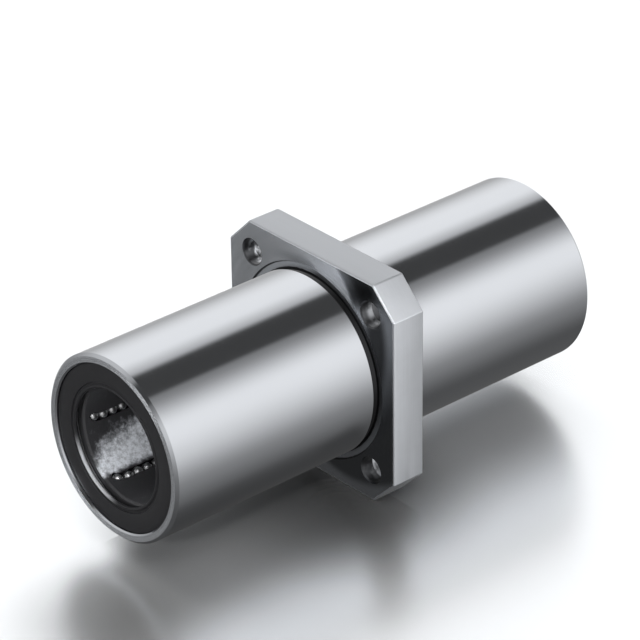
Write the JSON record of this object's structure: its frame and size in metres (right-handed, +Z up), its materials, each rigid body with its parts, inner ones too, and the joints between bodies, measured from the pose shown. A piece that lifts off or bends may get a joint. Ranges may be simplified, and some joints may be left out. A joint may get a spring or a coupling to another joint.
{
  "type": "square flange linear bearing",
  "caption": "Long linear ball bushing with a square bolt-on flange at its middle, plastic ball cages, recirculating steel balls and rubber end seals.",
  "frame": {"origin": "on the bearing's axis in the middle of the flange", "axes": "+X along the bore axis from the plain side of the flange to its counterbored side, +Z up, the flange square to Y and Z"},
  "size_m": [0.112, 0.05, 0.05],
  "materials": {
    "ground_steel": "ground and polished hardened steel",
    "cage_plastic": "black moulded acetal",
    "seal_rubber": "black nitrile rubber",
    "washer_steel": "pressed sheet steel",
    "spring_steel": "oil-blackened spring steel",
    "ball_steel": "lapped bearing balls"
  },
  "bodies": {
    "housing": {"flanged_sleeve": "ground_steel", "front_retainer": "cage_plastic", "front_seal": "seal_rubber", "front_seal_washer": "washer_steel", "front_snap_ring": "spring_steel", "rear_retainer": "cage_plastic", "rear_seal": "seal_rubber", "rear_seal_washer": "washer_steel", "rear_snap_ring": "spring_steel"},
    "front_load_row_1": {"front_load_row_balls_1": "ball_steel"},
    "front_return_row_1": {"front_return_row_balls_1": "ball_steel"},
    "front_outer_turn_1": {"front_outer_turn_balls_1": "ball_steel"},
    "front_inner_turn_1": {"front_inner_turn_balls_1": "ball_steel"},
    "front_load_row_2": {"front_load_row_balls_2": "ball_steel"},
    "front_return_row_2": {"front_return_row_balls_2": "ball_steel"},
    "front_outer_turn_2": {"front_outer_turn_balls_2": "ball_steel"},
    "front_inner_turn_2": {"front_inner_turn_balls_2": "ball_steel"},
    "front_load_row_3": {"front_load_row_balls_3": "ball_steel"},
    "front_return_row_3": {"front_return_row_balls_3": "ball_steel"},
    "front_outer_turn_3": {"front_outer_turn_balls_3": "ball_steel"},
    "front_inner_turn_3": {"front_inner_turn_balls_3": "ball_steel"},
    "front_load_row_4": {"front_load_row_balls_4": "ball_steel"},
    "front_return_row_4": {"front_return_row_balls_4": "ball_steel"},
    "front_outer_turn_4": {"front_outer_turn_balls_4": "ball_steel"},
    "front_inner_turn_4": {"front_inner_turn_balls_4": "ball_steel"},
    "front_load_row_5": {"front_load_row_balls_5": "ball_steel"},
    "front_return_row_5": {"front_return_row_balls_5": "ball_steel"},
    "front_outer_turn_5": {"front_outer_turn_balls_5": "ball_steel"},
    "front_inner_turn_5": {"front_inner_turn_balls_5": "ball_steel"},
    "front_load_row_6": {"front_load_row_balls_6": "ball_steel"},
    "front_return_row_6": {"front_return_row_balls_6": "ball_steel"},
    "front_outer_turn_6": {"front_outer_turn_balls_6": "ball_steel"},
    "front_inner_turn_6": {"front_inner_turn_balls_6": "ball_steel"},
    "rear_load_row_1": {"rear_load_row_balls_1": "ball_steel"},
    "rear_return_row_1": {"rear_return_row_balls_1": "ball_steel"},
    "rear_outer_turn_1": {"rear_outer_turn_balls_1": "ball_steel"},
    "rear_inner_turn_1": {"rear_inner_turn_balls_1": "ball_steel"},
    "rear_load_row_2": {"rear_load_row_balls_2": "ball_steel"},
    "rear_return_row_2": {"rear_return_row_balls_2": "ball_steel"},
    "rear_outer_turn_2": {"rear_outer_turn_balls_2": "ball_steel"},
    "rear_inner_turn_2": {"rear_inner_turn_balls_2": "ball_steel"},
    "rear_load_row_3": {"rear_load_row_balls_3": "ball_steel"},
    "rear_return_row_3": {"rear_return_row_balls_3": "ball_steel"},
    "rear_outer_turn_3": {"rear_outer_turn_balls_3": "ball_steel"},
    "rear_inner_turn_3": {"rear_inner_turn_balls_3": "ball_steel"},
    "rear_load_row_4": {"rear_load_row_balls_4": "ball_steel"},
    "rear_return_row_4": {"rear_return_row_balls_4": "ball_steel"},
    "rear_outer_turn_4": {"rear_outer_turn_balls_4": "ball_steel"},
    "rear_inner_turn_4": {"rear_inner_turn_balls_4": "ball_steel"},
    "rear_load_row_5": {"rear_load_row_balls_5": "ball_steel"},
    "rear_return_row_5": {"rear_return_row_balls_5": "ball_steel"},
    "rear_outer_turn_5": {"rear_outer_turn_balls_5": "ball_steel"},
    "rear_inner_turn_5": {"rear_inner_turn_balls_5": "ball_steel"},
    "rear_load_row_6": {"rear_load_row_balls_6": "ball_steel"},
    "rear_return_row_6": {"rear_return_row_balls_6": "ball_steel"},
    "rear_outer_turn_6": {"rear_outer_turn_balls_6": "ball_steel"},
    "rear_inner_turn_6": {"rear_inner_turn_balls_6": "ball_steel"}
  },
  "joints": [
    {"name": "front_circuit_1_run", "type": "slide", "parent": "housing", "child": "front_load_row_1", "axis": [1, 0, 0], "range_m": [-0.00122, 0.00122]},
    {"name": "front_circuit_1_return", "type": "slide", "parent": "housing", "child": "front_return_row_1", "axis": [1, 0, 0], "range_m": [-0.00122, 0.00122]},
    {"name": "front_circuit_1_outer_turn", "type": "hinge", "parent": "housing", "child": "front_outer_turn_1", "pos_m": [-0.04886, 0.0141, 0.00146], "axis": [0, 0.9834, -0.1812], "range_deg": [-30, 30]},
    {"name": "front_circuit_1_inner_turn", "type": "hinge", "parent": "housing", "child": "front_inner_turn_1", "pos_m": [-0.00996, 0.0141, 0.00146], "axis": [0, 0.9834, -0.1812], "range_deg": [-30, 30]},
    {"name": "front_circuit_2_run", "type": "slide", "parent": "housing", "child": "front_load_row_2", "axis": [1, 0, 0], "range_m": [-0.00122, 0.00122]},
    {"name": "front_circuit_2_return", "type": "slide", "parent": "housing", "child": "front_return_row_2", "axis": [1, 0, 0], "range_m": [-0.00122, 0.00122]},
    {"name": "front_circuit_2_outer_turn", "type": "hinge", "parent": "housing", "child": "front_outer_turn_2", "pos_m": [-0.04886, 0.00579, 0.01294], "axis": [0, 0.6487, 0.7611], "range_deg": [-30, 30]},
    {"name": "front_circuit_2_inner_turn", "type": "hinge", "parent": "housing", "child": "front_inner_turn_2", "pos_m": [-0.00996, 0.00579, 0.01294], "axis": [0, 0.6487, 0.7611], "range_deg": [-30, 30]},
    {"name": "front_circuit_3_run", "type": "slide", "parent": "housing", "child": "front_load_row_3", "axis": [1, 0, 0], "range_m": [-0.00122, 0.00122]},
    {"name": "front_circuit_3_return", "type": "slide", "parent": "housing", "child": "front_return_row_3", "axis": [1, 0, 0], "range_m": [-0.00122, 0.00122]},
    {"name": "front_circuit_3_outer_turn", "type": "hinge", "parent": "housing", "child": "front_outer_turn_3", "pos_m": [-0.04886, -0.00831, 0.01148], "axis": [0, -0.3348, 0.9423], "range_deg": [-30, 30]},
    {"name": "front_circuit_3_inner_turn", "type": "hinge", "parent": "housing", "child": "front_inner_turn_3", "pos_m": [-0.00996, -0.00831, 0.01148], "axis": [0, -0.3348, 0.9423], "range_deg": [-30, 30]},
    {"name": "front_circuit_4_run", "type": "slide", "parent": "housing", "child": "front_load_row_4", "axis": [1, 0, 0], "range_m": [-0.00122, 0.00122]},
    {"name": "front_circuit_4_return", "type": "slide", "parent": "housing", "child": "front_return_row_4", "axis": [1, 0, 0], "range_m": [-0.00122, 0.00122]},
    {"name": "front_circuit_4_outer_turn", "type": "hinge", "parent": "housing", "child": "front_outer_turn_4", "pos_m": [-0.04886, -0.0141, -0.00146], "axis": [0, -0.9834, 0.1812], "range_deg": [-30, 30]},
    {"name": "front_circuit_4_inner_turn", "type": "hinge", "parent": "housing", "child": "front_inner_turn_4", "pos_m": [-0.00996, -0.0141, -0.00146], "axis": [0, -0.9834, 0.1812], "range_deg": [-30, 30]},
    {"name": "front_circuit_5_run", "type": "slide", "parent": "housing", "child": "front_load_row_5", "axis": [1, 0, 0], "range_m": [-0.00122, 0.00122]},
    {"name": "front_circuit_5_return", "type": "slide", "parent": "housing", "child": "front_return_row_5", "axis": [1, 0, 0], "range_m": [-0.00122, 0.00122]},
    {"name": "front_circuit_5_outer_turn", "type": "hinge", "parent": "housing", "child": "front_outer_turn_5", "pos_m": [-0.04886, -0.00579, -0.01294], "axis": [0, -0.6487, -0.7611], "range_deg": [-30, 30]},
    {"name": "front_circuit_5_inner_turn", "type": "hinge", "parent": "housing", "child": "front_inner_turn_5", "pos_m": [-0.00996, -0.00579, -0.01294], "axis": [0, -0.6487, -0.7611], "range_deg": [-30, 30]},
    {"name": "front_circuit_6_run", "type": "slide", "parent": "housing", "child": "front_load_row_6", "axis": [1, 0, 0], "range_m": [-0.00122, 0.00122]},
    {"name": "front_circuit_6_return", "type": "slide", "parent": "housing", "child": "front_return_row_6", "axis": [1, 0, 0], "range_m": [-0.00122, 0.00122]},
    {"name": "front_circuit_6_outer_turn", "type": "hinge", "parent": "housing", "child": "front_outer_turn_6", "pos_m": [-0.04886, 0.00831, -0.01148], "axis": [0, 0.3348, -0.9423], "range_deg": [-30, 30]},
    {"name": "front_circuit_6_inner_turn", "type": "hinge", "parent": "housing", "child": "front_inner_turn_6", "pos_m": [-0.00996, 0.00831, -0.01148], "axis": [0, 0.3348, -0.9423], "range_deg": [-30, 30]},
    {"name": "rear_circuit_1_run", "type": "slide", "parent": "housing", "child": "rear_load_row_1", "axis": [1, 0, 0], "range_m": [-0.00122, 0.00122]},
    {"name": "rear_circuit_1_return", "type": "slide", "parent": "housing", "child": "rear_return_row_1", "axis": [1, 0, 0], "range_m": [-0.00122, 0.00122]},
    {"name": "rear_circuit_1_outer_turn", "type": "hinge", "parent": "housing", "child": "rear_outer_turn_1", "pos_m": [0.04886, 0.0141, 0.00146], "axis": [0, 0.9834, -0.1812], "range_deg": [-30, 30]},
    {"name": "rear_circuit_1_inner_turn", "type": "hinge", "parent": "housing", "child": "rear_inner_turn_1", "pos_m": [0.00996, 0.0141, 0.00146], "axis": [0, 0.9834, -0.1812], "range_deg": [-30, 30]},
    {"name": "rear_circuit_2_run", "type": "slide", "parent": "housing", "child": "rear_load_row_2", "axis": [1, 0, 0], "range_m": [-0.00122, 0.00122]},
    {"name": "rear_circuit_2_return", "type": "slide", "parent": "housing", "child": "rear_return_row_2", "axis": [1, 0, 0], "range_m": [-0.00122, 0.00122]},
    {"name": "rear_circuit_2_outer_turn", "type": "hinge", "parent": "housing", "child": "rear_outer_turn_2", "pos_m": [0.04886, 0.00579, 0.01294], "axis": [0, 0.6487, 0.7611], "range_deg": [-30, 30]},
    {"name": "rear_circuit_2_inner_turn", "type": "hinge", "parent": "housing", "child": "rear_inner_turn_2", "pos_m": [0.00996, 0.00579, 0.01294], "axis": [0, 0.6487, 0.7611], "range_deg": [-30, 30]},
    {"name": "rear_circuit_3_run", "type": "slide", "parent": "housing", "child": "rear_load_row_3", "axis": [1, 0, 0], "range_m": [-0.00122, 0.00122]},
    {"name": "rear_circuit_3_return", "type": "slide", "parent": "housing", "child": "rear_return_row_3", "axis": [1, 0, 0], "range_m": [-0.00122, 0.00122]},
    {"name": "rear_circuit_3_outer_turn", "type": "hinge", "parent": "housing", "child": "rear_outer_turn_3", "pos_m": [0.04886, -0.00831, 0.01148], "axis": [0, -0.3348, 0.9423], "range_deg": [-30, 30]},
    {"name": "rear_circuit_3_inner_turn", "type": "hinge", "parent": "housing", "child": "rear_inner_turn_3", "pos_m": [0.00996, -0.00831, 0.01148], "axis": [0, -0.3348, 0.9423], "range_deg": [-30, 30]},
    {"name": "rear_circuit_4_run", "type": "slide", "parent": "housing", "child": "rear_load_row_4", "axis": [1, 0, 0], "range_m": [-0.00122, 0.00122]},
    {"name": "rear_circuit_4_return", "type": "slide", "parent": "housing", "child": "rear_return_row_4", "axis": [1, 0, 0], "range_m": [-0.00122, 0.00122]},
    {"name": "rear_circuit_4_outer_turn", "type": "hinge", "parent": "housing", "child": "rear_outer_turn_4", "pos_m": [0.04886, -0.0141, -0.00146], "axis": [0, -0.9834, 0.1812], "range_deg": [-30, 30]},
    {"name": "rear_circuit_4_inner_turn", "type": "hinge", "parent": "housing", "child": "rear_inner_turn_4", "pos_m": [0.00996, -0.0141, -0.00146], "axis": [0, -0.9834, 0.1812], "range_deg": [-30, 30]},
    {"name": "rear_circuit_5_run", "type": "slide", "parent": "housing", "child": "rear_load_row_5", "axis": [1, 0, 0], "range_m": [-0.00122, 0.00122]},
    {"name": "rear_circuit_5_return", "type": "slide", "parent": "housing", "child": "rear_return_row_5", "axis": [1, 0, 0], "range_m": [-0.00122, 0.00122]},
    {"name": "rear_circuit_5_outer_turn", "type": "hinge", "parent": "housing", "child": "rear_outer_turn_5", "pos_m": [0.04886, -0.00579, -0.01294], "axis": [0, -0.6487, -0.7611], "range_deg": [-30, 30]},
    {"name": "rear_circuit_5_inner_turn", "type": "hinge", "parent": "housing", "child": "rear_inner_turn_5", "pos_m": [0.00996, -0.00579, -0.01294], "axis": [0, -0.6487, -0.7611], "range_deg": [-30, 30]},
    {"name": "rear_circuit_6_run", "type": "slide", "parent": "housing", "child": "rear_load_row_6", "axis": [1, 0, 0], "range_m": [-0.00122, 0.00122]},
    {"name": "rear_circuit_6_return", "type": "slide", "parent": "housing", "child": "rear_return_row_6", "axis": [1, 0, 0], "range_m": [-0.00122, 0.00122]},
    {"name": "rear_circuit_6_outer_turn", "type": "hinge", "parent": "housing", "child": "rear_outer_turn_6", "pos_m": [0.04886, 0.00831, -0.01148], "axis": [0, 0.3348, -0.9423], "range_deg": [-30, 30]},
    {"name": "rear_circuit_6_inner_turn", "type": "hinge", "parent": "housing", "child": "rear_inner_turn_6", "pos_m": [0.00996, 0.00831, -0.01148], "axis": [0, 0.3348, -0.9423], "range_deg": [-30, 30]}
  ],
  "couplings": [
    {"joint": "front_circuit_1_return", "follows": "front_circuit_1_run", "ratio": -1},
    {"joint": "front_circuit_1_outer_turn", "follows": "front_circuit_1_run", "rad_per_m": -430.76},
    {"joint": "front_circuit_1_inner_turn", "follows": "front_circuit_1_run", "rad_per_m": -430.76},
    {"joint": "front_circuit_2_return", "follows": "front_circuit_2_run", "ratio": -1},
    {"joint": "front_circuit_2_outer_turn", "follows": "front_circuit_2_run", "rad_per_m": -430.76},
    {"joint": "front_circuit_2_inner_turn", "follows": "front_circuit_2_run", "rad_per_m": -430.76},
    {"joint": "front_circuit_3_return", "follows": "front_circuit_3_run", "ratio": -1},
    {"joint": "front_circuit_3_outer_turn", "follows": "front_circuit_3_run", "rad_per_m": -430.76},
    {"joint": "front_circuit_3_inner_turn", "follows": "front_circuit_3_run", "rad_per_m": -430.76},
    {"joint": "front_circuit_4_return", "follows": "front_circuit_4_run", "ratio": -1},
    {"joint": "front_circuit_4_outer_turn", "follows": "front_circuit_4_run", "rad_per_m": -430.76},
    {"joint": "front_circuit_4_inner_turn", "follows": "front_circuit_4_run", "rad_per_m": -430.76},
    {"joint": "front_circuit_5_return", "follows": "front_circuit_5_run", "ratio": -1},
    {"joint": "front_circuit_5_outer_turn", "follows": "front_circuit_5_run", "rad_per_m": -430.76},
    {"joint": "front_circuit_5_inner_turn", "follows": "front_circuit_5_run", "rad_per_m": -430.76},
    {"joint": "front_circuit_6_return", "follows": "front_circuit_6_run", "ratio": -1},
    {"joint": "front_circuit_6_outer_turn", "follows": "front_circuit_6_run", "rad_per_m": -430.76},
    {"joint": "front_circuit_6_inner_turn", "follows": "front_circuit_6_run", "rad_per_m": -430.76},
    {"joint": "rear_circuit_1_return", "follows": "rear_circuit_1_run", "ratio": -1},
    {"joint": "rear_circuit_1_outer_turn", "follows": "rear_circuit_1_run", "rad_per_m": -430.76},
    {"joint": "rear_circuit_1_inner_turn", "follows": "rear_circuit_1_run", "rad_per_m": -430.76},
    {"joint": "rear_circuit_2_return", "follows": "rear_circuit_2_run", "ratio": -1},
    {"joint": "rear_circuit_2_outer_turn", "follows": "rear_circuit_2_run", "rad_per_m": -430.76},
    {"joint": "rear_circuit_2_inner_turn", "follows": "rear_circuit_2_run", "rad_per_m": -430.76},
    {"joint": "rear_circuit_3_return", "follows": "rear_circuit_3_run", "ratio": -1},
    {"joint": "rear_circuit_3_outer_turn", "follows": "rear_circuit_3_run", "rad_per_m": -430.76},
    {"joint": "rear_circuit_3_inner_turn", "follows": "rear_circuit_3_run", "rad_per_m": -430.76},
    {"joint": "rear_circuit_4_return", "follows": "rear_circuit_4_run", "ratio": -1},
    {"joint": "rear_circuit_4_outer_turn", "follows": "rear_circuit_4_run", "rad_per_m": -430.76},
    {"joint": "rear_circuit_4_inner_turn", "follows": "rear_circuit_4_run", "rad_per_m": -430.76},
    {"joint": "rear_circuit_5_return", "follows": "rear_circuit_5_run", "ratio": -1},
    {"joint": "rear_circuit_5_outer_turn", "follows": "rear_circuit_5_run", "rad_per_m": -430.76},
    {"joint": "rear_circuit_5_inner_turn", "follows": "rear_circuit_5_run", "rad_per_m": -430.76},
    {"joint": "rear_circuit_6_return", "follows": "rear_circuit_6_run", "ratio": -1},
    {"joint": "rear_circuit_6_outer_turn", "follows": "rear_circuit_6_run", "rad_per_m": -430.76},
    {"joint": "rear_circuit_6_inner_turn", "follows": "rear_circuit_6_run", "rad_per_m": -430.76}
  ]
}
